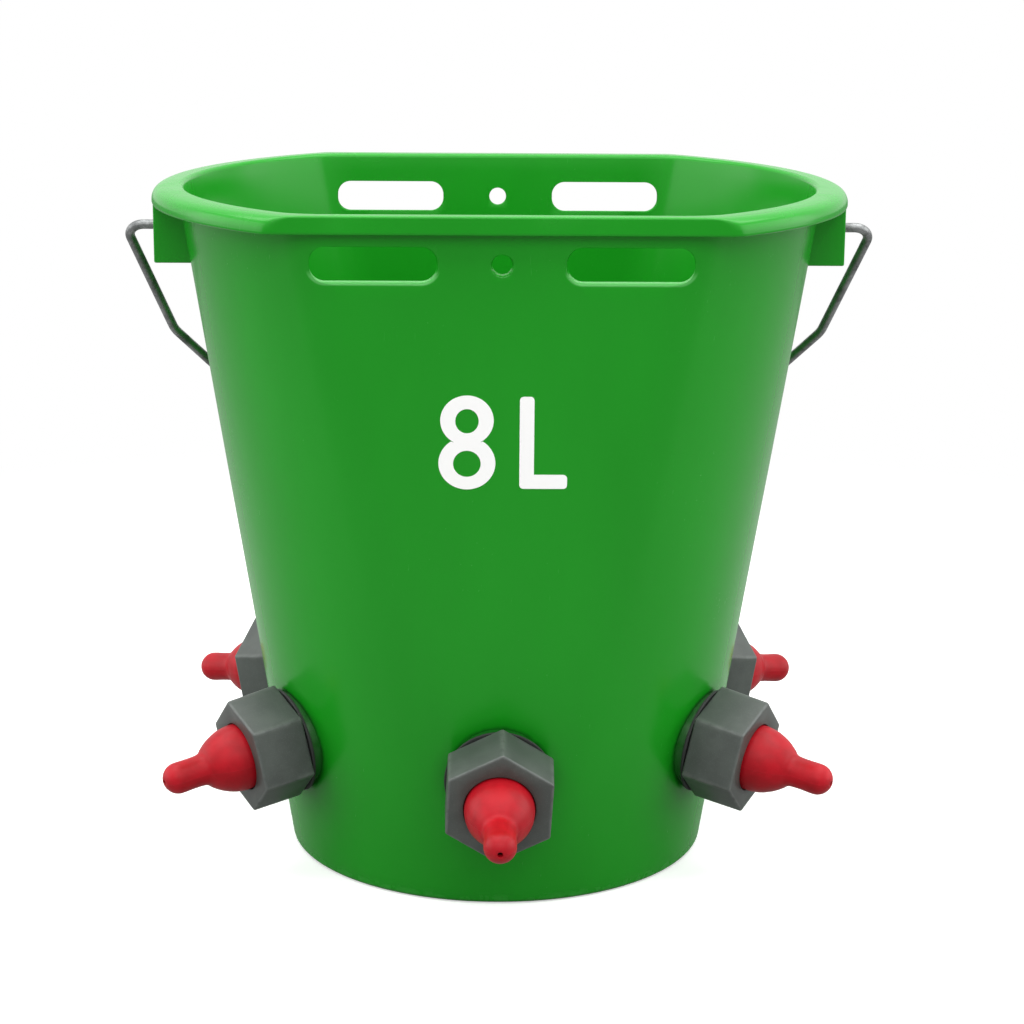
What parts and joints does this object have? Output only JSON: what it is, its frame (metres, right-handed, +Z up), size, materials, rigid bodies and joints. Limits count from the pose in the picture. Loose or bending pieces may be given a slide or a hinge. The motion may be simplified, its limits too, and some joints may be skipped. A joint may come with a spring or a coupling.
{
  "type": "teat feeding bucket",
  "caption": "Moulded feeding bucket with flat front and back panels, hanging slots, a swinging wire bail, and rubber teats on screwed ball valves round its base.",
  "frame": {"origin": "centre of the underside of the base, at the plane that the foot ring stands on", "axes": "+Z up along the bucket's axis, -Y out of the front panel over the single front teat, +X to the right seen from the front, along the bail's pivot axis"},
  "size_m": [0.305, 0.2632, 0.277],
  "materials": {
    "bucket_plastic": "glossy moulded",
    "bail_wire": "galvanised",
    "nut_plastic": "matt moulded",
    "valve_plastic": "matt moulded",
    "teat_rubber": "smooth",
    "gasket_rubber": "matt",
    "ball_plastic": "smooth"
  },
  "bodies": {
    "bucket": {"bucket_shell": "bucket_plastic", "valve_body_1": "valve_plastic", "inner_gasket_1": "gasket_rubber", "outer_gasket_1": "gasket_rubber", "ball_cage_1": "valve_plastic", "valve_body_2": "valve_plastic", "inner_gasket_2": "gasket_rubber", "outer_gasket_2": "gasket_rubber", "ball_cage_2": "valve_plastic", "valve_body_3": "valve_plastic", "inner_gasket_3": "gasket_rubber", "outer_gasket_3": "gasket_rubber", "ball_cage_3": "valve_plastic", "valve_body_4": "valve_plastic", "inner_gasket_4": "gasket_rubber", "outer_gasket_4": "gasket_rubber", "ball_cage_4": "valve_plastic", "valve_body_5": "valve_plastic", "inner_gasket_5": "gasket_rubber", "outer_gasket_5": "gasket_rubber", "ball_cage_5": "valve_plastic"},
    "bail": {"bail_handle": "bail_wire"},
    "teat_1": {"teat_1": "teat_rubber"},
    "cap_nut_1": {"cap_nut_1": "nut_plastic"},
    "check_ball_1": {"check_ball_1": "ball_plastic"},
    "teat_2": {"teat_2": "teat_rubber"},
    "cap_nut_2": {"cap_nut_2": "nut_plastic"},
    "check_ball_2": {"check_ball_2": "ball_plastic"},
    "teat_3": {"teat_3": "teat_rubber"},
    "cap_nut_3": {"cap_nut_3": "nut_plastic"},
    "check_ball_3": {"check_ball_3": "ball_plastic"},
    "teat_4": {"teat_4": "teat_rubber"},
    "cap_nut_4": {"cap_nut_4": "nut_plastic"},
    "check_ball_4": {"check_ball_4": "ball_plastic"},
    "teat_5": {"teat_5": "teat_rubber"},
    "cap_nut_5": {"cap_nut_5": "nut_plastic"},
    "check_ball_5": {"check_ball_5": "ball_plastic"}
  },
  "joints": [
    {"name": "bail_swing", "type": "hinge", "parent": "bucket", "child": "bail", "pos_m": [0, 0, 0.259], "axis": [1, 0, 0], "range_deg": [0, 285.5]},
    {"name": "teat_draw_1", "type": "slide", "parent": "bucket", "child": "teat_1", "axis": [0, -0.9881, -0.1541], "range_m": [0, 0.0151]},
    {"name": "nut_turn_1", "type": "hinge", "parent": "teat_1", "child": "cap_nut_1", "pos_m": [0, -0.09692, 0.05577], "axis": [0, -0.9881, -0.1541], "range_deg": [0, 1800]},
    {"name": "ball_lift_1", "type": "slide", "parent": "bucket", "child": "check_ball_1", "axis": [0, -0.9881, -0.1541], "range_m": [-0.0025, 0]},
    {"name": "teat_draw_2", "type": "slide", "parent": "bucket", "child": "teat_2", "axis": [0.8557, -0.494, -0.1541], "range_m": [0, 0.0151]},
    {"name": "nut_turn_2", "type": "hinge", "parent": "teat_2", "child": "cap_nut_2", "pos_m": [0.08393, -0.04846, 0.05577], "axis": [0.8557, -0.494, -0.1541], "range_deg": [0, 1800]},
    {"name": "ball_lift_2", "type": "slide", "parent": "bucket", "child": "check_ball_2", "axis": [0.8557, -0.494, -0.1541], "range_m": [-0.0025, 0]},
    {"name": "teat_draw_3", "type": "slide", "parent": "bucket", "child": "teat_3", "axis": [0.8557, 0.494, -0.1541], "range_m": [0, 0.0151]},
    {"name": "nut_turn_3", "type": "hinge", "parent": "teat_3", "child": "cap_nut_3", "pos_m": [0.08393, 0.04846, 0.05577], "axis": [0.8557, 0.494, -0.1541], "range_deg": [0, 1800]},
    {"name": "ball_lift_3", "type": "slide", "parent": "bucket", "child": "check_ball_3", "axis": [0.8557, 0.494, -0.1541], "range_m": [-0.0025, 0]},
    {"name": "teat_draw_4", "type": "slide", "parent": "bucket", "child": "teat_4", "axis": [-0.8557, 0.494, -0.1541], "range_m": [0, 0.0151]},
    {"name": "nut_turn_4", "type": "hinge", "parent": "teat_4", "child": "cap_nut_4", "pos_m": [-0.08393, 0.04846, 0.05577], "axis": [-0.8557, 0.494, -0.1541], "range_deg": [0, 1800]},
    {"name": "ball_lift_4", "type": "slide", "parent": "bucket", "child": "check_ball_4", "axis": [-0.8557, 0.494, -0.1541], "range_m": [-0.0025, 0]},
    {"name": "teat_draw_5", "type": "slide", "parent": "bucket", "child": "teat_5", "axis": [-0.8557, -0.494, -0.1541], "range_m": [0, 0.0151]},
    {"name": "nut_turn_5", "type": "hinge", "parent": "teat_5", "child": "cap_nut_5", "pos_m": [-0.08393, -0.04846, 0.05577], "axis": [-0.8557, -0.494, -0.1541], "range_deg": [0, 1800]},
    {"name": "ball_lift_5", "type": "slide", "parent": "bucket", "child": "check_ball_5", "axis": [-0.8557, -0.494, -0.1541], "range_m": [-0.0025, 0]}
  ],
  "couplings": [
    {"joint": "teat_draw_1", "follows": "nut_turn_1", "m_per_rad": 0.00047746},
    {"joint": "teat_draw_2", "follows": "nut_turn_2", "m_per_rad": 0.00047746},
    {"joint": "teat_draw_3", "follows": "nut_turn_3", "m_per_rad": 0.00047746},
    {"joint": "teat_draw_4", "follows": "nut_turn_4", "m_per_rad": 0.00047746},
    {"joint": "teat_draw_5", "follows": "nut_turn_5", "m_per_rad": 0.00047746}
  ]
}
